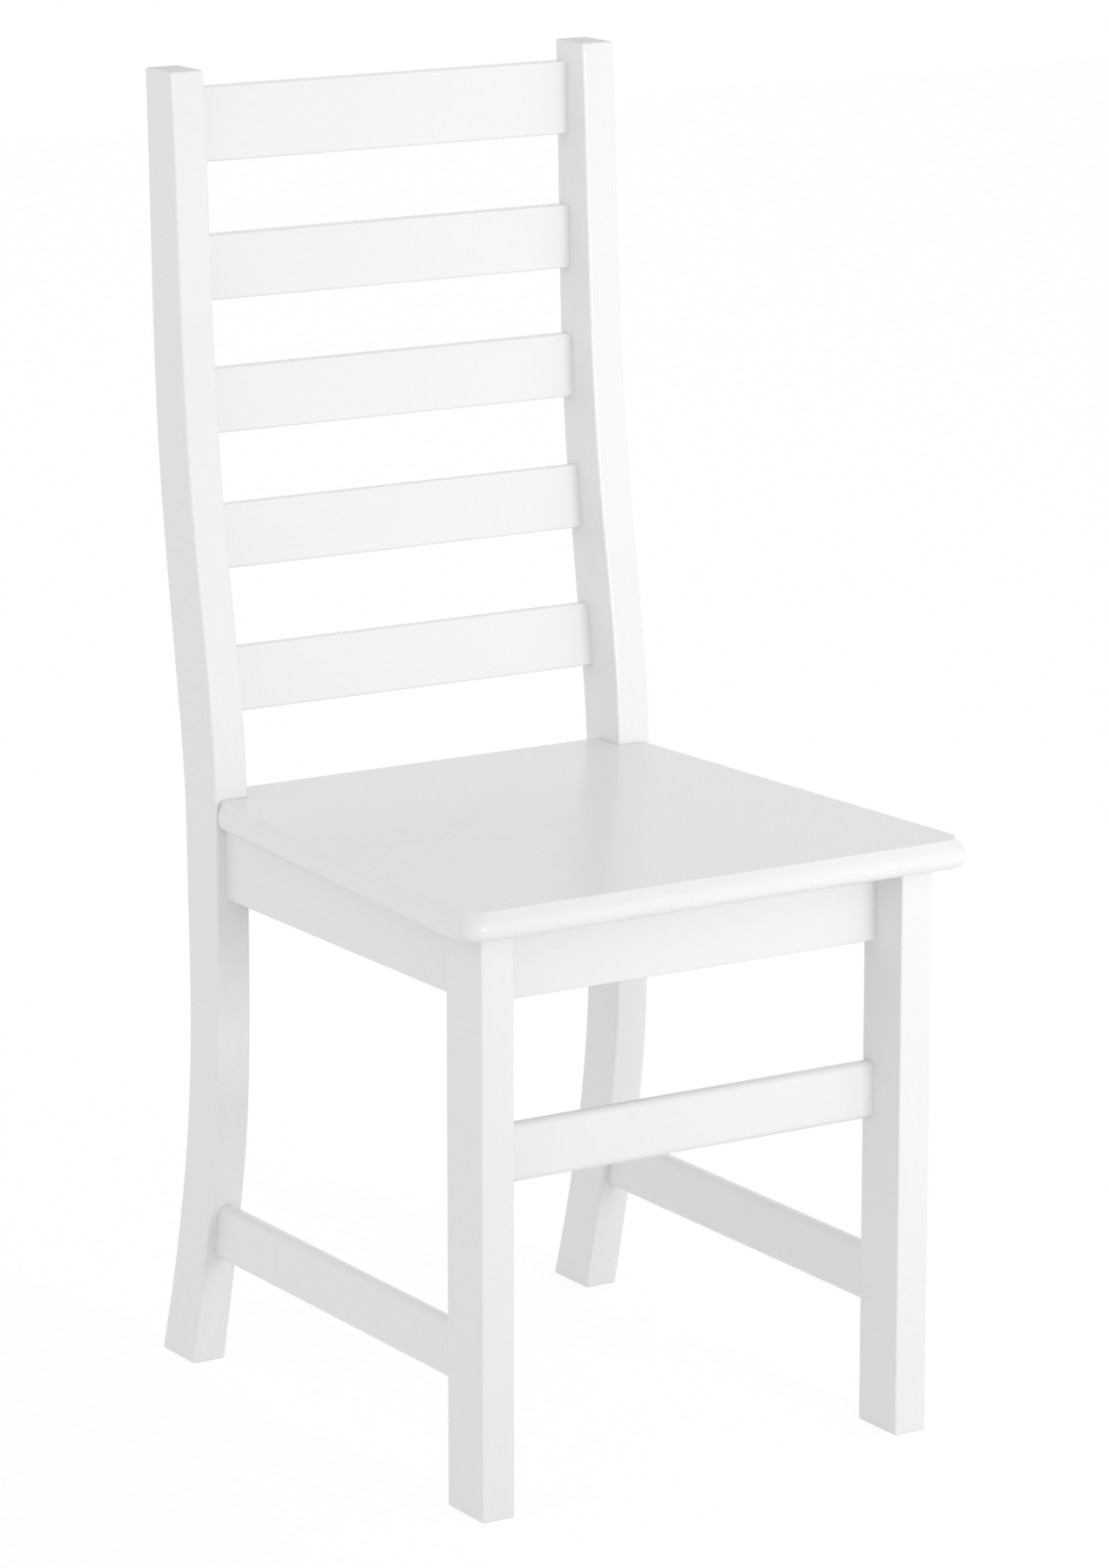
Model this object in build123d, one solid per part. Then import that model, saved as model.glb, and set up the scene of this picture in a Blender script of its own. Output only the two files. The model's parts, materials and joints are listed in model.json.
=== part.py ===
from build123d import *
import os
from math import atan2, cos, degrees, radians, sin

# A painted wooden kitchen chair with a slatted back, as separate pieces that seat in one another.
# X runs across the chair, +Y to the back and +Z up, in millimetres. Every piece is drawn with Y measured
# from the front faces of the front legs, and moved at the end so that the origin lies on the floor
# under the middle of the whole chair.

# Overall sizes
HEIGHT = 1000.0
SEAT_HEIGHT = 457.0
FRAME_WIDTH = 389.0

# Front legs: width across the chair, depth from front to back
LEG_WIDTH = 27.0
LEG_DEPTH = 48.5
LEG_EDGE = 1.5

# Rear posts: place of the middle line at the seat, its reach behind that at the floor and at the top
POST_WIDTH = 28.0
POST_SETBACK = 406.5
FOOT_SPLAY = 47.0
TOP_RAKE = 49.5
POST_EDGE = 1.8

# Depth of a post at the floor, at its waist under the seat, at the seat, above the seat and at the top
FOOT_DEPTH = 49.0
WAIST_DEPTH = 44.7
SEAT_LINE_DEPTH = 48.6
BACK_DEPTH = 51.0
TOP_DEPTH = 39.8

# Form of the post's middle line below and above the seat: (share of the height, share of the splay or rake)
LOWER_FORM = ((0.0, 1.0), (0.24, 0.41), (0.44, 0.07), (0.66, -0.047), (0.85, -0.03))
UPPER_FORM = ((0.155, 0.19), (0.30, 0.445), (0.447, 0.67), (0.63, 0.825), (1.0, 1.01))
WAIST_SHARE = 0.66

# Back slats, from the crest slat down; the clear gaps are listed from the seat up
CREST_HEIGHT = 56.5
SLAT_HEIGHT = 49.5
SLAT_THICKNESS = 14.0
SLAT_INSET = 1.5
SLAT_EDGE = 2.0
SLAT_GAPS = (54.4, 58.2, 53.7, 51.6, 54.6)
CREST_MARGIN = 16.0
TENON_LENGTH = 16.0
TENON_THICKNESS = 8.0
TENON_SHOULDER = 6.0
TENON_FIT = 0.15

# Seat board: reach beyond the legs at the sides and the front, and behind the posts' middle line
SEAT_OVERHANG = 23.7
SEAT_TAPER = 27.2
SEAT_NOSE = 20.6
SEAT_BACK_REACH = 7.3
SEAT_THICKNESS = 22.0
NOTCH_GAP = 0.4

# Soft edge of the seat: how deep its outermost line lies, as a share of the thickness, and how far the top
# and the underside lie in from that line at the sides and the front; corner radii in plan
EDGE_LINE = 0.61
TOP_SIDE_INSET = 4.0
TOP_FRONT_INSET = 7.1
UNDER_SIDE_INSET = 3.5
UNDER_FRONT_INSET = 9.7
SEAT_CORNER = 14.6
SEAT_TOP_CORNER = 18.0
SEAT_UNDER_CORNER = 17.6
SEAT_BACK_EDGE = 1.5

# Rails: aprons under the seat, stretchers between the legs
RAIL_THICKNESS = 14.0
SIDE_RAIL_INSET = 8.0
FRONT_APRON_HEIGHT = 59.5
SIDE_APRON_HEIGHT = 55.0
APRON_EDGE = 1.5
STRETCHER_HEIGHT = 44.0
STRETCHER_EDGE = 6.0
FRONT_STRETCHER_RISE = 238.3
SIDE_STRETCHER_RISE = 90.2

# Dowels in the rail ends
DOWEL_DIAMETER = 6.0
DOWEL_LENGTH = 30.0
DOWEL_FIT = 0.1
DOWEL_END_GAP = 0.5
DOWEL_TIP = 0.75
DOWEL_MARGIN = 9.0

# Corner blocks: length along each apron, thickness at the tips
BLOCK_LEG = 56.0
BLOCK_TIP = 10.0
BLOCK_HEIGHT = 38.0

# Screws through the blocks: place from a tip, depth of the head, wood left beyond the point
SCREW_DIAMETER = 4.0
SCREW_HEAD = 8.0
SCREW_HEAD_DEPTH = 2.6
SCREW_FIT = 0.1
SCREW_POINT = 4.0
BLOCK_SCREW_PLACE = 20.0
BLOCK_SCREW_SINK = 9.0
BLOCK_SCREW_COVER = 5.0
SEAT_SCREW_PLACE = 18.0
SEAT_SCREW_COVER = 8.0
RECESS_WIDTH = 1.0
RECESS_SPAN = 4.6
RECESS_DEPTH = 1.4

# Largest share of the room beside an edge that its rounding may take
EDGE_SHARE = 0.86

# Places worked out from the sizes above
SLAT_COUNT = len(SLAT_GAPS)
SEAT_UNDER = SEAT_HEIGHT - SEAT_THICKNESS
SEAT_HALF = FRAME_WIDTH / 2 + SEAT_OVERHANG
SEAT_BACK = POST_SETBACK + SEAT_BACK_REACH
LEG_IN = FRAME_WIDTH / 2 - LEG_WIDTH
POST_IN = FRAME_WIDTH / 2 - POST_WIDTH
SIDE_RAIL_OUT = FRAME_WIDTH / 2 - SIDE_RAIL_INSET
SIDE_RAIL_IN = SIDE_RAIL_OUT - RAIL_THICKNESS
SIDE_RAIL_MID = (SIDE_RAIL_IN + SIDE_RAIL_OUT) / 2
FRONT_RAIL_MID = LEG_DEPTH - RAIL_THICKNESS / 2
FRONT_APRON_LOW = SEAT_UNDER - FRONT_APRON_HEIGHT
SIDE_APRON_LOW = SEAT_UNDER - SIDE_APRON_HEIGHT
FRONT_STRETCHER_TOP = FRONT_STRETCHER_RISE + STRETCHER_HEIGHT
SIDE_STRETCHER_TOP = SIDE_STRETCHER_RISE + STRETCHER_HEIGHT
SIDES = (("left", -1), ("right", 1))


# Post profile

def post_stations():
    """(height, middle, depth) up one post, from the floor to the top."""
    rows = []
    for share, reach in LOWER_FORM:
        above_waist = max(0, share - WAIST_SHARE) / (1 - WAIST_SHARE)
        depth = WAIST_DEPTH + (SEAT_LINE_DEPTH - WAIST_DEPTH) * above_waist
        if share == 0:
            depth = FOOT_DEPTH
        rows.append((share * SEAT_HEIGHT, POST_SETBACK + reach * FOOT_SPLAY, depth))
    rows.append((SEAT_HEIGHT, POST_SETBACK, SEAT_LINE_DEPTH))
    first = UPPER_FORM[0][0]
    for share, reach in UPPER_FORM:
        depth = BACK_DEPTH + (TOP_DEPTH - BACK_DEPTH) * (share - first) / (1 - first)
        height = SEAT_HEIGHT + share * (HEIGHT - SEAT_HEIGHT)
        rows.append((height, POST_SETBACK + reach * TOP_RAKE, depth))
    return rows


STATIONS = post_stations()
FRONT_EDGE = Spline(*[(middle - depth / 2, height) for height, middle, depth in STATIONS])
REAR_EDGE = Spline(*[(middle + depth / 2, height) for height, middle, depth in STATIONS])


def edge_at(edge, height):
    """Place along Y of a post edge at a height, and its lean there in degrees."""
    low, high = 0.0, 1.0
    for _ in range(40):
        middle = (low + high) / 2
        if (edge @ middle).Y < height:
            low = middle
        else:
            high = middle
    tangent = edge % low
    return (edge @ low).X, degrees(atan2(tangent.X, tangent.Y))


def post_front(height):
    return edge_at(FRONT_EDGE, height)[0]


# The foremost place of the posts' front faces, from the lower edge of the aprons to the seat's top
FACE_STEPS = 24
FACE_RISE = (SEAT_HEIGHT - SIDE_APRON_LOW) / FACE_STEPS
POST_FACE = min(post_front(SIDE_APRON_LOW + step * FACE_RISE) for step in range(FACE_STEPS + 1))
REAR_APRON_MID = POST_FACE + RAIL_THICKNESS / 2


# Helpers

def slab(x, y, z):
    """A box between two X, two Y and two Z values."""
    size = (x[1] - x[0], y[1] - y[0], z[1] - z[0])
    middle = ((x[0] + x[1]) / 2, (y[0] + y[1]) / 2, (z[0] + z[1]) / 2)
    return Pos(*middle) * Box(*size)


def rounding(wanted, *rooms):
    """The wanted radius, or less where the walls beside the edge leave less room."""
    return min([wanted] + [EDGE_SHARE * room for room in rooms])


def aim(axis, sign):
    """A turn that points a piece's own +Z along X, Y or Z."""
    turns = {"X": Rot(0, 90 * sign, 0), "Y": Rot(-90 * sign, 0, 0), "Z": Rot(0, 90 - 90 * sign, 0)}
    return turns[axis]


def mirrored(solid, sign):
    return solid if sign > 0 else mirror(solid, about=Plane.YZ)


# Dowels

def rail_end_dowels():
    """(place of the joint, axis along which the dowel lies, group) for every dowel of the right half.

    In a leg the dowels of the cross rail and of the side rail lie at heights that take turns.
    """
    places = []
    apron_low = max(FRONT_APRON_LOW, SIDE_APRON_LOW) + DOWEL_MARGIN
    apron_step = (SEAT_UNDER - DOWEL_MARGIN - apron_low) / 3
    for step in (0, 1):
        cross = apron_low + 2 * step * apron_step
        along = cross + apron_step
        places.append(((LEG_IN, FRONT_RAIL_MID, cross), "X", "apron"))
        places.append(((POST_IN, REAR_APRON_MID, cross), "X", "apron"))
        places.append(((SIDE_RAIL_MID, LEG_DEPTH, along), "Y", "apron"))
        places.append(((SIDE_RAIL_MID, post_front(along), along), "Y", "apron"))
        offset = DOWEL_MARGIN + step * (STRETCHER_HEIGHT - 2 * DOWEL_MARGIN)
        front = FRONT_STRETCHER_RISE + offset
        side = SIDE_STRETCHER_RISE + offset
        places.append(((LEG_IN, FRONT_RAIL_MID, front), "X", "stretcher"))
        places.append(((SIDE_RAIL_MID, LEG_DEPTH, side), "Y", "stretcher"))
        places.append(((SIDE_RAIL_MID, post_front(side), side), "Y", "stretcher"))
    return places


def dowel_rods(diameter, length, group=None):
    """The dowels of the right half, or the holes that take them."""
    rods = []
    for place, axis, name in rail_end_dowels():
        if group in (None, name):
            rods.append(Pos(*place) * aim(axis, 1) * Cylinder(diameter / 2, length))
    return rods


def dowels(group):
    rods = dowel_rods(DOWEL_DIAMETER, DOWEL_LENGTH, group)
    right = [chamfer(rod.edges(), DOWEL_TIP) for rod in rods]
    return right + [mirrored(rod, -1) for rod in right]


DOWEL_HOLES = dowel_rods(DOWEL_DIAMETER + 2 * DOWEL_FIT, DOWEL_LENGTH + 2 * DOWEL_END_GAP)


def drilled(solid):
    """The piece with the dowel holes of both halves cut where they meet it."""
    box = solid.bounding_box()
    for sign in (1, -1):
        for hole in DOWEL_HOLES:
            cut = mirrored(hole, sign)
            reach = cut.bounding_box()
            apart = (
                reach.min.X > box.max.X or reach.max.X < box.min.X
                or reach.min.Y > box.max.Y or reach.max.Y < box.min.Y
                or reach.min.Z > box.max.Z or reach.max.Z < box.min.Z
            )
            if not apart:
                solid = solid - cut
    return solid


# Corner blocks and screws

def block_corners():
    """(name, place of the block's corner, direction along Y into the frame) for the right half."""
    return (("front", LEG_DEPTH, 1), ("rear", POST_FACE, -1))


def turned(profile):
    """A solid of revolution about Z from (radius, height) points."""
    with BuildPart() as made:
        with BuildSketch(Plane.XZ):
            with BuildLine():
                Polyline(*profile, close=True)
            make_face()
        revolve(axis=Axis.Z)
    return made.part


def screw(length):
    """A wood screw: its countersunk head's top on Z = 0, its shank along -Z, with a cross recess."""
    shank = SCREW_DIAMETER / 2
    head = SCREW_HEAD / 2
    profile = (
        (0, 0), (head, 0), (shank, -SCREW_HEAD_DEPTH), (shank, SCREW_POINT - length), (0, -length),
    )
    slot = Box(RECESS_SPAN, RECESS_WIDTH, 2 * RECESS_DEPTH)
    return turned(profile) - slot - Rot(0, 0, 90) * slot


def screw_hole(length, run_out):
    """The room that a screw needs: countersink, shank and the way in for its head."""
    shank = SCREW_DIAMETER / 2 + SCREW_FIT
    head = SCREW_HEAD / 2 + SCREW_FIT
    end = -length - SCREW_FIT
    return turned((
        (0, run_out), (head, run_out), (head, 0), (shank, -SCREW_HEAD_DEPTH), (shank, end), (0, end),
    ))


def screw_places(group):
    """(place and turn of the head, length of the screw) for the right half."""
    height = SEAT_UNDER - BLOCK_HEIGHT / 2
    along = BLOCK_LEG - BLOCK_SCREW_PLACE
    head = BLOCK_TIP + BLOCK_SCREW_PLACE - BLOCK_SCREW_SINK
    places = []
    for _, corner, inward in block_corners():
        if group == "block":
            into_cross = Pos(SIDE_RAIL_IN - along, corner + inward * head, height)
            into_side = Pos(SIDE_RAIL_IN - head, corner + inward * along, height)
            length = head + RAIL_THICKNESS - BLOCK_SCREW_COVER
            places.append((into_cross * aim("Y", inward), length))
            places.append((into_side * aim("X", -1), length))
        else:
            below = SEAT_UNDER - BLOCK_HEIGHT
            under = Pos(SIDE_RAIL_IN - SEAT_SCREW_PLACE, corner + inward * SEAT_SCREW_PLACE, below)
            length = BLOCK_HEIGHT + SEAT_THICKNESS - SEAT_SCREW_COVER
            places.append((under * aim("Z", -1), length))
    return places


def screws(group):
    right = [place * screw(length) for place, length in screw_places(group)]
    return right + [mirrored(one, -1) for one in right]


SCREW_HOLES = [
    place * screw_hole(length, BLOCK_LEG)
    for group in ("block", "seat")
    for place, length in screw_places(group)
]


def bored(solid, sign):
    """The piece of one half with its screw holes cut."""
    for hole in SCREW_HOLES:
        solid = solid - mirrored(hole, sign)
    return solid


def corner_block(corner, inward):
    """A five-sided glue block in a corner of the apron frame, on the right."""
    outline = ((0, 0), (BLOCK_LEG, 0), (BLOCK_LEG, BLOCK_TIP), (BLOCK_TIP, BLOCK_LEG), (0, BLOCK_LEG))
    points = [(SIDE_RAIL_IN - along, corner + inward * back) for along, back in outline]
    with BuildPart() as made:
        with BuildSketch(Plane.XY.offset(SEAT_UNDER - BLOCK_HEIGHT)):
            with BuildLine():
                Polyline(*points, close=True)
            make_face()
        extrude(amount=BLOCK_HEIGHT)
    return made.part


# Legs and posts

def front_leg(sign):
    leg = slab((LEG_IN, FRAME_WIDTH / 2), (0, LEG_DEPTH), (0, SEAT_UNDER))
    leg = fillet(leg.edges().filter_by(Axis.Z) + leg.faces().sort_by(Axis.Z)[0].edges(), LEG_EDGE)
    return drilled(mirrored(leg, sign))


def post_blank():
    """One right-hand post with rounded edges, before its mortises and holes."""
    top = Line(FRONT_EDGE @ 1, REAR_EDGE @ 1)
    foot = Line(FRONT_EDGE @ 0, REAR_EDGE @ 0)
    side = make_face([FRONT_EDGE, top, REAR_EDGE, foot])
    post = extrude(Plane.YZ.offset(POST_IN) * side, amount=POST_WIDTH)
    return fillet(post.edges(), POST_EDGE)


POST_BLANK = post_blank()


def rear_post(sign):
    post = POST_BLANK
    for index in range(SLAT_COUNT):
        post = post - slat_tenon(index, TENON_FIT)
    return drilled(mirrored(post, sign))


# Back slats, numbered from the crest down

def slat_heights(index):
    """Height of the slat itself, and height of its middle above the floor."""
    gap_room = HEIGHT - CREST_MARGIN - CREST_HEIGHT - SEAT_HEIGHT - (SLAT_COUNT - 1) * SLAT_HEIGHT
    gap_scale = gap_room / sum(SLAT_GAPS)
    own = CREST_HEIGHT if index == 0 else SLAT_HEIGHT
    below = SLAT_COUNT - 1 - index
    bottom = SEAT_HEIGHT + gap_scale * sum(SLAT_GAPS[:below + 1]) + below * SLAT_HEIGHT
    return own, bottom + own / 2


def slat_place(index):
    """Where a slat sits: near the rear edge of the posts, leaning as they lean there."""
    own, middle = slat_heights(index)
    rear, lean = edge_at(REAR_EDGE, middle)
    return own, Pos(0, rear, middle) * Rot(-lean, 0, 0) * Pos(0, -SLAT_INSET - SLAT_THICKNESS / 2, 0)


def slat_tenon(index, room):
    """The tenons of a slat as one bar, or with room around them the cut for their mortises."""
    own, place = slat_place(index)
    length = 2 * (POST_IN + TENON_LENGTH + 2 * room)
    return place * Box(length, TENON_THICKNESS + 2 * room, own - 2 * TENON_SHOULDER + 2 * room)


def back_slat(index):
    own, place = slat_place(index)
    board = Box(2 * POST_IN, SLAT_THICKNESS, own)
    board = fillet(board.edges().filter_by(Axis.X), rounding(SLAT_EDGE, SLAT_THICKNESS / 2))
    return place * board + slat_tenon(index, 0)


# Seat board

def seat_outline(side_inset, front_inset, corner, height):
    """A tapered outline at one height, with the two front corners rounded. It runs on past the back."""
    front = -SEAT_NOSE + front_inset
    half = SEAT_HALF - side_inset
    back = SEAT_BACK + SEAT_THICKNESS
    half_back = half - SEAT_TAPER * (back - front) / (SEAT_BACK - front)
    corners = ((-half_back, back), (-half, front), (half, front), (half_back, back))
    with BuildSketch(Plane.XY.offset(height)) as made:
        with BuildLine():
            Polyline(*corners, close=True)
        make_face()
        fillet(made.vertices().sort_by(Axis.Y)[:2], corner)
    return made.sketch


def upper_section(way):
    """The outline part of the way up from the outermost line to the top, along a parabola."""
    share = way ** 2
    corner = SEAT_CORNER + share * (SEAT_TOP_CORNER - SEAT_CORNER)
    height = SEAT_HEIGHT - (1 - way) * EDGE_LINE * SEAT_THICKNESS
    return seat_outline(share * TOP_SIDE_INSET, share * TOP_FRONT_INSET, corner, height)


def lower_section(turn):
    """The outline below the outermost line along a quarter ellipse: the underside lies at 90 degrees."""
    share = 1 - cos(radians(turn))
    corner = SEAT_CORNER + share * (SEAT_UNDER_CORNER - SEAT_CORNER)
    height = SEAT_UNDER + (1 - sin(radians(turn))) * (1 - EDGE_LINE) * SEAT_THICKNESS
    return seat_outline(share * UNDER_SIDE_INSET, share * UNDER_FRONT_INSET, corner, height)


def seat_board():
    """Soft-edged board, lofted through its outlines from the underside up and notched round the posts."""
    sections = [lower_section(turn) for turn in (90, 60, 30)] + [upper_section(way) for way in (0, 0.5, 1)]
    board = loft(sections)
    sides = (-SEAT_HALF, SEAT_HALF)
    board = board - slab(sides, (SEAT_BACK, SEAT_BACK + 2 * SEAT_THICKNESS), (0, HEIGHT))
    notch_x = (POST_IN - NOTCH_GAP, SEAT_HALF + NOTCH_GAP)
    notch_y = (POST_FACE - NOTCH_GAP, SEAT_BACK + NOTCH_GAP)
    notch = slab(notch_x, notch_y, (0, HEIGHT))
    board = board - notch - mirrored(notch, -1)
    back_edges = board.faces().sort_by(Axis.Y)[-1].edges().filter_by(Axis.X)
    board = fillet(back_edges, rounding(SEAT_BACK_EDGE, SEAT_THICKNESS / 2))
    return bored(bored(board, 1), -1)


# Rails

def eased(rail, axis):
    """A rail with its long edges rounded: an apron's lower pair a little, all four of a stretcher fully."""
    long_edges = rail.edges().filter_by(axis).sort_by(Axis.Z)
    if rail.bounding_box().max.Z < SEAT_UNDER:
        return fillet(long_edges, rounding(STRETCHER_EDGE, RAIL_THICKNESS / 2))
    return fillet(long_edges[:2], rounding(APRON_EDGE, RAIL_THICKNESS / 2))


def cross_rail(half_length, middle, low, high):
    """A rail across the chair, between two legs or posts."""
    y = (middle - RAIL_THICKNESS / 2, middle + RAIL_THICKNESS / 2)
    rail = slab((-half_length, half_length), y, (low, high))
    return drilled(eased(rail, Axis.X))


def side_rail(low, high):
    """A right-hand rail from the front leg to the post, cut to the post's curved face."""
    rail = slab((SIDE_RAIL_IN, SIDE_RAIL_OUT), (LEG_DEPTH, POST_SETBACK + FOOT_SPLAY), (low, high))
    rail = eased(rail, Axis.Y) - POST_BLANK
    return drilled(rail.solids().sort_by(Axis.Y)[0])


def front_apron():
    rail = cross_rail(LEG_IN, FRONT_RAIL_MID, FRONT_APRON_LOW, SEAT_UNDER)
    return bored(bored(rail, 1), -1)


def rear_apron():
    rail = cross_rail(POST_IN, REAR_APRON_MID, SIDE_APRON_LOW, SEAT_UNDER)
    return bored(bored(rail, 1), -1)


def side_apron(sign):
    return mirrored(bored(side_rail(SIDE_APRON_LOW, SEAT_UNDER), 1), sign)


def front_stretcher():
    return cross_rail(LEG_IN, FRONT_RAIL_MID, FRONT_STRETCHER_RISE, FRONT_STRETCHER_TOP)


def side_stretcher(sign):
    return mirrored(side_rail(SIDE_STRETCHER_RISE, SIDE_STRETCHER_TOP), sign)


# The whole chair

def chair():
    """Every node's name with its solids: one for a piece, several for a group of like pieces."""
    nodes = {"seat_board": [seat_board()]}
    for name, sign in SIDES:
        nodes["front_leg_" + name] = [front_leg(sign)]
        nodes["rear_post_" + name] = [rear_post(sign)]
        nodes[name + "_apron"] = [side_apron(sign)]
        nodes[name + "_stretcher"] = [side_stretcher(sign)]
        for end, corner, inward in block_corners():
            block = bored(corner_block(corner, inward), 1)
            nodes["corner_block_" + end + "_" + name] = [mirrored(block, sign)]
    for index in range(SLAT_COUNT):
        nodes["back_slat_" + str(index + 1)] = [back_slat(index)]
    nodes["front_apron"] = [front_apron()]
    nodes["rear_apron"] = [rear_apron()]
    nodes["front_stretcher"] = [front_stretcher()]
    nodes["apron_dowels"] = dowels("apron")
    nodes["stretcher_dowels"] = dowels("stretcher")
    nodes["block_screws"] = screws("block")
    nodes["seat_screws"] = screws("seat")
    return nodes


def main():
    os.makedirs("parts", exist_ok=True)
    rear_reach = POST_BLANK.bounding_box().max.Y
    to_centre = Pos(0, (SEAT_NOSE - rear_reach) / 2, 0)
    for name, pieces in chair().items():
        solids = [to_centre * solid for piece in pieces for solid in piece.solids()]
        export_step(Compound(solids), "parts/" + name + ".step")
        print(name, len(solids))


main()
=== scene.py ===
# %% [markdown]
# A white kitchen chair in Blender.
# The chair's pieces were made as solids, each at its real size: legs, posts, slats, seat, rails, and the
# blocks, dowels and screws that hold them. They could be modelled again here as meshes, but the solids
# already have the right shapes, down to the soft edge of the seat. So this lesson loads them, stands them
# in a white studio, and gives each kind of surface the finish that it has on the real chair.

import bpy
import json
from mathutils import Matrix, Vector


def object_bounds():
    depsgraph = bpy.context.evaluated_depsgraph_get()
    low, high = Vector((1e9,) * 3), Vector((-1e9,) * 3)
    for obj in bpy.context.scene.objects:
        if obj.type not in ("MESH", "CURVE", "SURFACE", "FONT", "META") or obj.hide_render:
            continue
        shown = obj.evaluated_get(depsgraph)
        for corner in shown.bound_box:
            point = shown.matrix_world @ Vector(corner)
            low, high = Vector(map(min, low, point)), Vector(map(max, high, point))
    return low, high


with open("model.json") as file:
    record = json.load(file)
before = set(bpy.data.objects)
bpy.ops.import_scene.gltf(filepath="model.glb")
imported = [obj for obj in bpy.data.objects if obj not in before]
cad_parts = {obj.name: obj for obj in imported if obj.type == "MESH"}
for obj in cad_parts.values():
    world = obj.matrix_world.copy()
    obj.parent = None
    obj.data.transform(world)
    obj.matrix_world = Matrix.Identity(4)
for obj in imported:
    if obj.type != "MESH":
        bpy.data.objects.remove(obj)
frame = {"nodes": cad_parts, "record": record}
cad_low, cad_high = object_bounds()
print("pieces:", len(frame["nodes"]), "size:", [round(side, 4) for side in cad_high - cad_low])

# %% [markdown]
# The camera looks at the chair from its front left corner, a little from above, through a long lens.
# A long lens from far away keeps the legs nearly parallel, as in a picture for a catalogue.
# Its place could be typed as a point and three turns. It is worked out from two angles and a distance
# instead, so that each can be read and changed by itself.

# %% Camera
import json
from math import cos, radians, sin

import bpy
import numpy as np
from mathutils import Vector

scene = bpy.context.scene
scene.view_settings.view_transform = "Standard"

CAMERA_AZIMUTH = radians(-32.18)
CAMERA_ELEVATION = radians(13.12)
CAMERA_DISTANCE = 4.667
CAMERA_LENS_MM = 143.4
AIM_OFFSET = Vector((0.0076, -0.0037, -0.0235))


def direction(azimuth, elevation):
    """Unit vector from the chair towards a viewer: azimuth 0 stands in front of the seat."""
    level = cos(elevation)
    return Vector((sin(azimuth) * level, -cos(azimuth) * level, sin(elevation)))


aim = (cad_low + cad_high) / 2 + AIM_OFFSET
towards_camera = direction(CAMERA_AZIMUTH, CAMERA_ELEVATION)
camera = bpy.data.objects.new("camera", bpy.data.cameras.new("camera"))
scene.collection.objects.link(camera)
camera.location = aim + CAMERA_DISTANCE * towards_camera
camera.rotation_euler = (-towards_camera).to_track_quat("-Z", "Y").to_euler()
camera.data.lens = CAMERA_LENS_MM
camera.data.sensor_fit = "AUTO"
scene.camera = camera
print("camera at", [round(value, 3) for value in camera.location])

# %% [markdown]
# Every finish below is a small graph of shader nodes. Making a node takes the same few lines each time,
# so one helper makes it, sets its values and connects what is given as another node's output.

# %% Node helper


def add(tree, kind, inputs=None, **settings):
    """A new node in a tree. An input takes a plain value, or an output socket to link from."""
    made = tree.nodes.new("ShaderNode" + kind)
    for name, value in settings.items():
        setattr(made, name, value)
    for name, value in (inputs or {}).items():
        if isinstance(value, bpy.types.NodeSocket):
            tree.links.new(value, made.inputs[name])
        else:
            made.inputs[name].default_value = value
    return made


def grey(level):
    """A colour of equal red, green and blue."""
    return (level, level, level, 1.0)


def seen_directly(tree):
    """1 for rays that show the surroundings: from the camera, from a reflection or through glass."""
    path = add(tree, "LightPath")
    shown = path.outputs["Is Camera Ray"]
    for kind in ("Is Glossy Ray", "Is Transmission Ray"):
        shown = add(tree, "Math", {0: shown, 1: path.outputs[kind]}, operation="MAXIMUM").outputs[0]
    return shown


# %% [markdown]
# A white studio lights the chair from all sides. Its walls are brighter than its ceiling, so the fronts
# of the legs are lighter than the top of the seat: the light falls with the square of the height.
# A ring of large lamps could do this too, but the world's own light has no edges and needs two levels only.
# The camera and the reflections see plain white instead, which is the background of the picture.

# %% Studio surroundings
HORIZON_LIGHT = 1.085
CEILING_LIGHT = 0.42

world = bpy.data.worlds.new("studio")
scene.world = world
world.use_nodes = True
tree = world.node_tree
tree.nodes.clear()
place = add(tree, "TexCoord")
height = add(tree, "SeparateXYZ", {0: place.outputs["Generated"]}).outputs["Z"]
rise = add(tree, "Math", {0: height, 1: 2.0}, operation="POWER").outputs[0]
level = add(tree, "MapRange", {"Value": rise, "To Min": HORIZON_LIGHT, "To Max": CEILING_LIGHT})
soft_light = add(tree, "Background", {"Color": grey(1.0), "Strength": level.outputs[0]})
white = add(tree, "Background", {"Color": grey(1.0), "Strength": 1.0})
choice = add(tree, "MixShader", {0: seen_directly(tree), 1: soft_light.outputs[0], 2: white.outputs[0]})
add(tree, "OutputWorld", {"Surface": choice.outputs[0]})
print("studio light:", HORIZON_LIGHT, "from the walls,", CEILING_LIGHT, "from the ceiling")

# %% [markdown]
# One lamp shapes the chair. A bare bulb would draw hard shadows, so it is a square a metre wide. It stands
# in front, a little higher than the seat, and makes the fronts brighter than the sides. Its light is a
# beam, turned past the chair's right shoulder, as photographers do when they feather a lamp: the edge of
# the beam falls on the left legs and its middle passes the right post. So the light grows from left to
# right over the slats, with only a narrow shadow beside the post.

# %% Key lamp
KEY_AZIMUTH = radians(11)
KEY_ELEVATION = radians(8)
KEY_DISTANCE = 3.0
KEY_SIZE = 1.0
KEY_WATTS = 3.55
KEY_BEAM = radians(60)
BEAM_PAST = Vector((0.6, 0.0, 0.25))

key = bpy.data.objects.new("key_lamp", bpy.data.lights.new("key_lamp", "AREA"))
scene.collection.objects.link(key)
key.data.shape = "SQUARE"
key.data.size = KEY_SIZE
key.data.energy = KEY_WATTS
key.data.spread = KEY_BEAM
key.location = aim + KEY_DISTANCE * direction(KEY_AZIMUTH, KEY_ELEVATION)
key.rotation_euler = (aim + BEAM_PAST - key.location).to_track_quat("-Z", "Y").to_euler()
print("key lamp at", [round(value, 3) for value in key.location])

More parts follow.
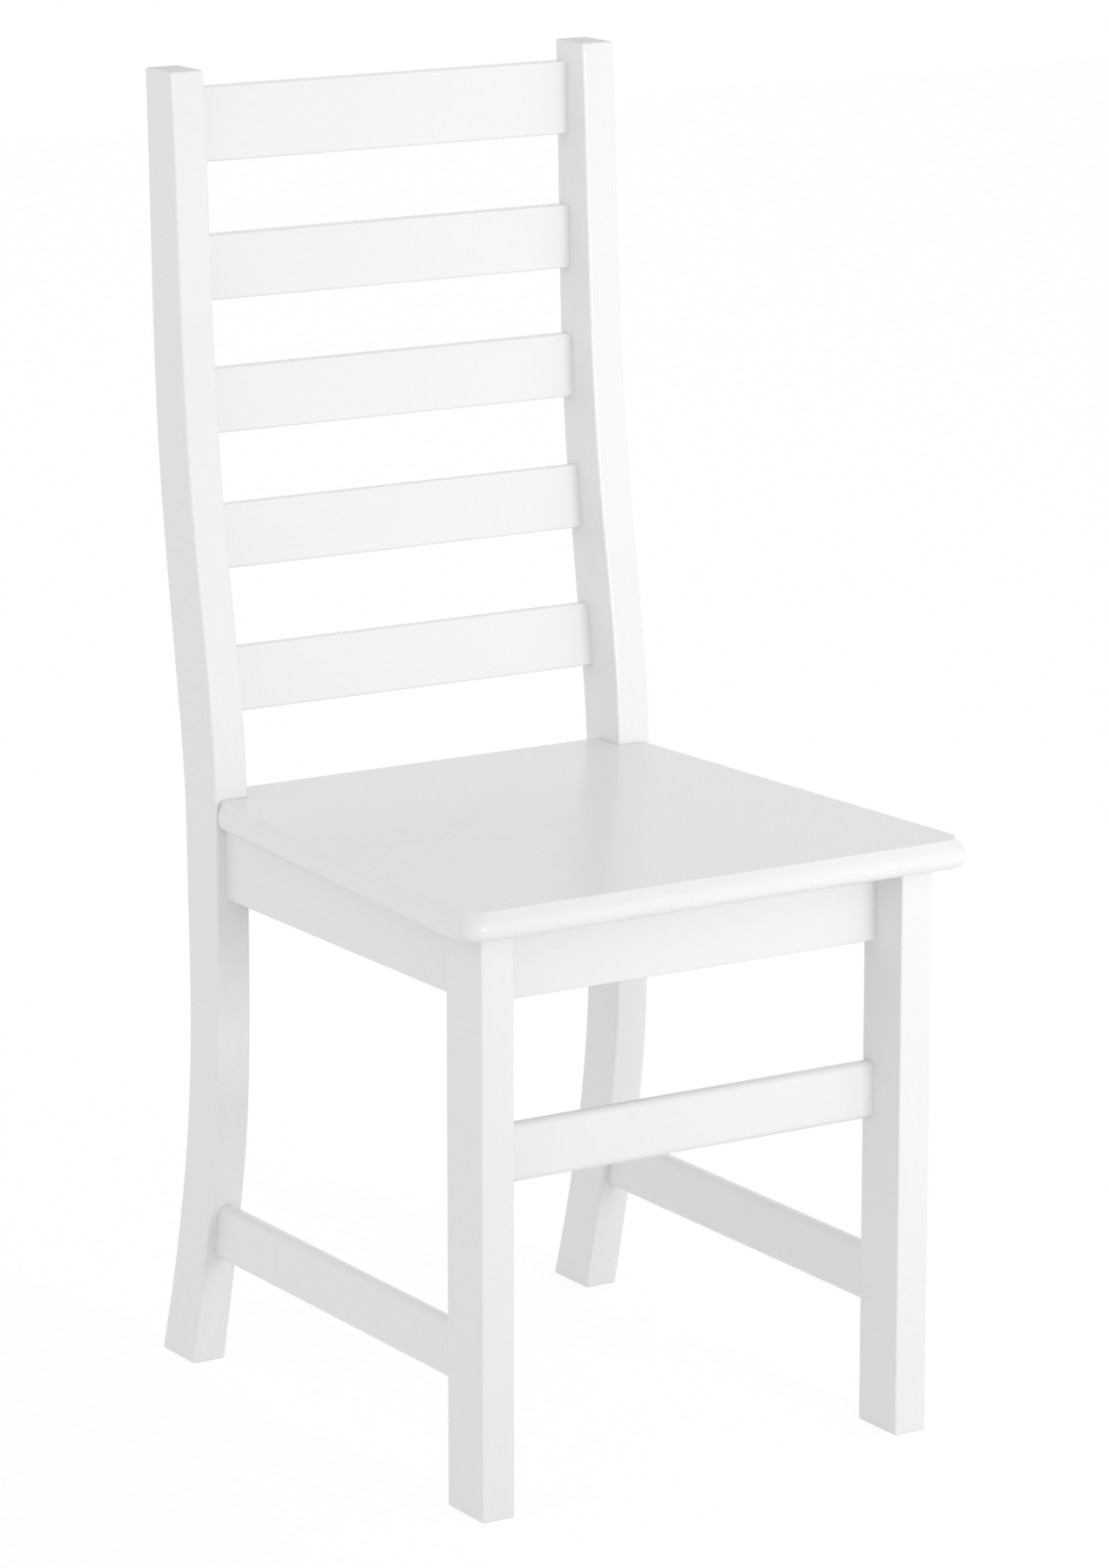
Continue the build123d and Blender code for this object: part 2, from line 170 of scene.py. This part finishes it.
# %% [markdown]
# The floor is white paper. What lights the chair from below is its plain diffuse colour, which by itself
# would look grey beside the white background. So the camera sees only a share of that colour, which keeps
# the chair's soft shadow, and a glow that makes up the rest of the white.

# %% Floor
FLOOR_SIZE = 14.0
FLOOR_COLOUR = 0.92
SHADOW_SHARE = 0.30
FLOOR_LIT_LEVEL = 0.71


def floor_paper():
    """White paper: diffuse for the light that it sends back, and nearly plain white to look at."""
    made = bpy.data.materials.new("floor_paper")
    made.use_nodes = True
    tree = made.node_tree
    tree.nodes.clear()
    paper = add(tree, "BsdfDiffuse", {"Color": grey(FLOOR_COLOUR)})
    shade = add(tree, "BsdfDiffuse", {"Color": grey(FLOOR_COLOUR * SHADOW_SHARE)})
    glow = add(tree, "Emission", {"Color": grey(1.0), "Strength": 1.0 - SHADOW_SHARE * FLOOR_LIT_LEVEL})
    shown = add(tree, "AddShader", {0: shade.outputs[0], 1: glow.outputs[0]})
    choice = add(tree, "MixShader", {0: seen_directly(tree), 1: paper.outputs[0], 2: shown.outputs[0]})
    add(tree, "OutputMaterial", {"Surface": choice.outputs[0]})
    return made


def sheet_mesh(name, size):
    """A square of one face: corners at plus and minus half the size, level with the chair's feet."""
    corner = size / 2 * np.array([(-1, -1), (1, -1), (1, 1), (-1, 1)])
    points = np.column_stack([corner, np.full(4, cad_low.z)])
    mesh = bpy.data.meshes.new(name)
    mesh.from_pydata(points.tolist(), [], [(0, 1, 2, 3)])
    return mesh


floor = bpy.data.objects.new("floor", sheet_mesh("floor", FLOOR_SIZE))
scene.collection.objects.link(floor)
floor.data.materials.append(floor_paper())
print("floor:", FLOOR_SIZE, "m square")

# %% [markdown]
# The paint on the chair is a satin white lacquer, sprayed over planed wood. Close by it has the fine
# dimples of sprayed paint, and the grain of the wood shows through as faint streaks along each piece.
# A picture wrapped round each piece could show this. Noise in Object coordinates needs no unwrapping, and
# as these are in metres, it has its real size on every piece. A Mapping node stretches it along the grain
# into streaks, and a MapRange node takes it to the narrow range that a colour or a roughness may have.

# %% Paint patterns
STREAK_WIDTH = 0.003
STREAK_STRETCH = 28.0
NOISE_RANGE = {"From Min": 0.3, "From Max": 0.7}


def along(axis, width, stretch):
    """Mapping scale that makes a pattern this fine across the grain and stretched along one axis."""
    scale = [1 / width] * 3
    scale["XYZ".index(axis)] /= stretch
    return scale


def spread(value, middle, either_way):
    """Inputs of a MapRange node that takes noise to a range round a middle value."""
    return {"Value": value, **NOISE_RANGE, "To Min": middle - either_way, "To Max": middle + either_way}


print("streaks:", STREAK_WIDTH, "m wide,", round(STREAK_WIDTH * STREAK_STRETCH, 4), "m long")

# %% [markdown]
# Sawn ends, such as the tops of the posts, drink more of the paint than planed faces do, so they are
# duller. They are also a little darker: partly the real tone of painted end grain, partly painted shade
# that stands in for the dimmer light on the tops of the posts. They could be picked by hand, face by
# face. But a sawn end is a face that looks along the grain, so the graph finds it by itself, from the
# direction of the surface.

# %% Sawn ends
END_ROUGHNESS = 0.60
# Share of the colour kept on sawn ends: partly their real darker tone, partly painted shade on the post
# tops.
END_GRAIN_AND_PAINTED_SHADE = 0.92
END_NORMAL = (0.80, 0.97)


def end_share(tree, axis):
    """1 on the faces that look along an axis, 0 on the faces beside it."""
    facing = add(tree, "TexCoord").outputs["Normal"]
    part = add(tree, "SeparateXYZ", {0: facing}).outputs[axis]
    size = add(tree, "Math", {0: part}, operation="ABSOLUTE").outputs[0]
    limits = {"From Min": END_NORMAL[0], "From Max": END_NORMAL[1]}
    return add(tree, "MapRange", {"Value": size, **limits}).outputs[0]


def dull_and_shade_ends(tree, axis, colour, roughness):
    """The colour and the roughness, with the faces that look along an axis duller, and darker with painted
    shade.
    """
    ends = end_share(tree, axis)
    # Darkens the faces that look along the grain: painted shade on the post tops, with some real end-grain
    # tone.
    shade = add(tree, "MapRange", {"Value": ends, "To Min": 1.0, "To Max": END_GRAIN_AND_PAINTED_SHADE}).outputs[0]
    end_grain_and_painted_shade_colour = add(tree, "Math", {0: colour, 1: shade}, operation="MULTIPLY").outputs[0]
    mixed = {"Factor": ends, "A": roughness, "B": END_ROUGHNESS}
    return end_grain_and_painted_shade_colour, add(tree, "Mix", mixed, data_type="FLOAT").outputs[0]


print("sawn ends: roughness", END_ROUGHNESS, "and", END_GRAIN_AND_PAINTED_SHADE, "of the colour")

# %% [markdown]
# One graph serves all the painted pieces, and only the axis of the grain changes from piece to piece.
# Wide clouds and the streaks vary the colour and the gloss by very little, because the real paint is even.
# Streaks and dimples could be cut into the mesh, but they are about a hundredth of a millimetre deep, so
# they are bump. The seat's ends are sanded and shaped, as smooth as its top, so its paint has no dull ends.

# %% White paint
PAINT_COLOUR = 0.86
PAINT_VARIATION = 0.005
CLOUD_SCALE = 9.0
STREAK_SHARE = 0.4
PAINT_ROUGHNESS = 0.23
ROUGHNESS_VARIATION = 0.03
STREAK_HEIGHT = 0.000012
PEEL_SIZE = 0.0025
PEEL_HEIGHT = 0.000006


def white_paint(name, axis, sawn_ends):
    """Satin white paint whose faint wood streaks run along one axis."""
    made = bpy.data.materials.new(name)
    made.use_nodes = True
    tree = made.node_tree
    tree.nodes.clear()
    place = add(tree, "TexCoord").outputs["Object"]
    fine = along(axis, STREAK_WIDTH, STREAK_STRETCH)
    stretched = add(tree, "Mapping", {"Vector": place, "Scale": fine}).outputs[0]
    streaks = add(
        tree, "TexNoise",
        {"Vector": stretched, "Scale": 1.0, "Detail": 3.0, "Roughness": 0.55, "Distortion": 0.4},
    ).outputs[0]
    peel = add(tree, "TexNoise", {"Vector": place, "Scale": 1 / PEEL_SIZE, "Detail": 1.0}).outputs[0]
    cloud = add(tree, "TexNoise", {"Vector": place, "Scale": CLOUD_SCALE, "Detail": 2.0}).outputs[0]
    mixed = {"Factor": STREAK_SHARE, "A": cloud, "B": streaks}
    tone = add(tree, "Mix", mixed, data_type="FLOAT").outputs[0]
    colour = add(tree, "MapRange", spread(tone, PAINT_COLOUR, PAINT_VARIATION)).outputs[0]
    roughness = add(tree, "MapRange", spread(cloud, PAINT_ROUGHNESS, ROUGHNESS_VARIATION)).outputs[0]
    # Sawn ends are duller, and darker with painted shade on the tops of the posts.
    if sawn_ends:
        colour, roughness = dull_and_shade_ends(tree, axis, colour, roughness)
    grain = add(tree, "Bump", {"Height": streaks, "Distance": STREAK_HEIGHT, "Strength": 1.0})
    dimples = add(
        tree, "Bump",
        {"Height": peel, "Distance": PEEL_HEIGHT, "Strength": 1.0, "Normal": grain.outputs[0]},
    )
    paint = add(
        tree, "BsdfPrincipled",
        {"Base Color": colour, "Roughness": roughness, "Normal": dimples.outputs[0]},
    )
    add(tree, "OutputMaterial", {"Surface": paint.outputs[0]})
    return made


paints = {axis: white_paint("white_paint_" + axis.lower(), axis, True) for axis in "XYZ"}
seat_paint = white_paint("white_paint_seat", "Y", False)
print("paints:", [paint.name for paint in paints.values()], "and", seat_paint.name)

# %% [markdown]
# The record says which finish each piece has, so the painted pieces are found by the name of their slot.
# The wood of a piece runs along its length. That could be measured on each mesh, but the names tell it:
# legs and posts stand, slats and cross rails lie from side to side, and the other rails from front to back.

# %% Dress the painted pieces
GRAIN_BY_PIECE = {"leg": "Z", "post": "Z", "slat": "X"}
CROSS_RAILS = ("front_apron", "rear_apron", "front_stretcher")


def grain_axis(node):
    """The axis along which the wood of a painted piece runs: its length."""
    for word, axis in GRAIN_BY_PIECE.items():
        if word in node:
            return axis
    return "X" if node in CROSS_RAILS else "Y"


slots = {part["node"]: part["material_slot"] for part in frame["record"]["subparts"]}
painted = [node for node, slot in slots.items() if slot == "white_paint"]
for node in painted:
    paint = seat_paint if node == "seat_board" else paints[grain_axis(node)]
    frame["nodes"][node].material_slots[0].material = paint
print("painted pieces:", len(painted))

# %% [markdown]
# Glue blocks of bare beech sit in the corners under the seat, and beech dowels inside the joints: nobody
# paints what nobody sees. Beech is pale and even, with soft yearly rings and many short dark flecks along
# its grain. The rings are the bands of a wave bent by noise. The flecks are a long thin noise of which
# only the peaks are kept. Plain noise for both would look like stone, because wood has a direction.
# Here it may lie at an angle, and a Mapping node of the Texture type turns the whole pattern to it.

# %% Bare wood
EARLY_WOOD = (0.71, 0.53, 0.34, 1.0)
LATE_WOOD = (0.58, 0.39, 0.22, 1.0)
FLECK_WOOD = (0.36, 0.21, 0.11, 1.0)
RING_WIDTH = 0.0045
RING_STRETCH = 14.0
# At this scale a wave node has one band in each unit of its coordinates.
WAVE_SCALE = 0.314
FLECK_WIDTH = 0.0006
FLECK_STRETCH = 7.0
FLECK_RANGE = {"From Min": 0.60, "From Max": 0.68}
FLECK_STRENGTH = 0.6
FIBRE_SHARE = 0.45
WOOD_ROUGHNESS = (0.52, 0.70)
FLECK_DEPTH = 0.00004


def blend(tree, share, first, second):
    """A colour between two others. A Mix node's colour sockets are numbers 6 and 7, and output 2."""
    return add(tree, "Mix", {0: share, 6: first, 7: second}, data_type="RGBA").outputs[2]


def along_grain(tree, turn, width, stretch):
    """Coordinates in units of a width across the grain, longer along it, turned about Z by an angle."""
    place = add(tree, "TexCoord").outputs["Object"]
    scale = (width * stretch, width, width)
    turned = {"Vector": place, "Rotation": (0, 0, turn), "Scale": scale}
    return add(tree, "Mapping", turned, vector_type="TEXTURE").outputs[0]


def bare_wood(name, turn):
    """Unpainted beech whose grain lies level, at an angle from the X axis."""
    made = bpy.data.materials.new(name)
    made.use_nodes = True
    tree = made.node_tree
    tree.nodes.clear()
    rings = add(
        tree, "TexWave",
        {"Vector": along_grain(tree, turn, RING_WIDTH, RING_STRETCH), "Scale": WAVE_SCALE,
         "Distortion": 3.0, "Detail": 2.0, "Detail Scale": 0.8},
        wave_type="BANDS", bands_direction="Y", wave_profile="SAW",
    ).outputs["Fac"]
    fibres = add(
        tree, "TexNoise",
        {"Vector": along_grain(tree, turn, FLECK_WIDTH, FLECK_STRETCH), "Scale": 1.0, "Detail": 2.0},
    ).outputs[0]
    flecks = add(tree, "MapRange", {"Value": fibres, **FLECK_RANGE}).outputs[0]
    late_share = {"Factor": FIBRE_SHARE, "A": rings, "B": fibres}
    plain = blend(tree, add(tree, "Mix", late_share, data_type="FLOAT").outputs[0], EARLY_WOOD, LATE_WOOD)
    fleck_share = add(tree, "Math", {0: flecks, 1: FLECK_STRENGTH}, operation="MULTIPLY").outputs[0]
    colour = blend(tree, fleck_share, plain, FLECK_WOOD)
    roughness = add(
        tree, "MapRange", {"Value": fibres, "To Min": WOOD_ROUGHNESS[0], "To Max": WOOD_ROUGHNESS[1]},
    )
    pores = add(tree, "Bump", {"Height": flecks, "Distance": FLECK_DEPTH, "Strength": 1.0}, invert=True)
    wood = add(
        tree, "BsdfPrincipled",
        {"Base Color": colour, "Roughness": roughness.outputs[0], "Normal": pores.outputs[0]},
    )
    add(tree, "OutputMaterial", {"Surface": wood.outputs[0]})
    return made


woods = {
    "rising": bare_wood("bare_wood_rising", radians(45)),
    "falling": bare_wood("bare_wood_falling", radians(-45)),
    "cross": bare_wood("bare_wood_cross", 0.0),
}
print("woods:", [wood.name for wood in woods.values()])

# %% [markdown]
# The grain of a block runs along its free slanting face, so that it doesn't split. Two woods with slanting
# grain do for the four blocks, because opposite corners have parallel faces. The dowels are hidden in
# their bores, and all of them share one wood with its grain from side to side.

# %% Dress the bare pieces


def block_grain(node):
    """A block's free face rises from left to right in plan at the front right and the rear left."""
    if "block" not in node:
        return "cross"
    return "rising" if ("front" in node) == ("right" in node) else "falling"


bare = [node for node, slot in slots.items() if slot == "bare_wood"]
for node in bare:
    frame["nodes"][node].material_slots[0].material = woods[block_grain(node)]
print("bare pieces:", len(bare))

# %% [markdown]
# Wood screws hold the blocks and the seat. They are steel with a bright coat of zinc, which is a metal
# with a slightly uneven gloss: soft clouds where the coat is duller, and fine marks from the tumbling drum
# in which small screws are plated. One even grey metal would do from afar. Close by, noise that varies its
# colour and gloss shows that it is plated, and the marks are bump.

# %% Screw steel
ZINC_BRIGHT = (0.70, 0.70, 0.71, 1.0)
ZINC_DULL = (0.55, 0.56, 0.58, 1.0)
ZINC_ROUGHNESS = (0.22, 0.40)
ZINC_CLOUD_SIZE = 0.003
ZINC_CLOUD_RANGE = {"From Min": 0.35, "From Max": 0.65}
MARK_SIZE = 0.0004
MARK_DEPTH = 0.000008


def screw_steel():
    """Zinc-plated steel: clouds of duller coat, and fine tumbling marks as bump."""
    made = bpy.data.materials.new("screw_steel")
    made.use_nodes = True
    tree = made.node_tree
    tree.nodes.clear()
    place = add(tree, "TexCoord").outputs["Object"]
    clouds = add(tree, "TexNoise", {"Vector": place, "Scale": 1 / ZINC_CLOUD_SIZE, "Detail": 3.0})
    marks = add(tree, "TexNoise", {"Vector": place, "Scale": 1 / MARK_SIZE, "Detail": 2.0}).outputs[0]
    dulled = add(tree, "MapRange", {"Value": clouds.outputs[0], **ZINC_CLOUD_RANGE}).outputs[0]
    colour = blend(tree, dulled, ZINC_BRIGHT, ZINC_DULL)
    roughness = add(
        tree, "MapRange", {"Value": dulled, "To Min": ZINC_ROUGHNESS[0], "To Max": ZINC_ROUGHNESS[1]},
    )
    scuffs = add(tree, "Bump", {"Height": marks, "Distance": MARK_DEPTH, "Strength": 1.0})
    steel = add(
        tree, "BsdfPrincipled",
        {"Base Color": colour, "Metallic": 1.0,
         "Roughness": roughness.outputs[0], "Normal": scuffs.outputs[0]},
    )
    add(tree, "OutputMaterial", {"Surface": steel.outputs[0]})
    return made


zinc = screw_steel()
screws = [node for node, slot in slots.items() if slot == "screw_steel"]
for node in screws:
    frame["nodes"][node].material_slots[0].material = zinc
print("screw groups:", len(screws))
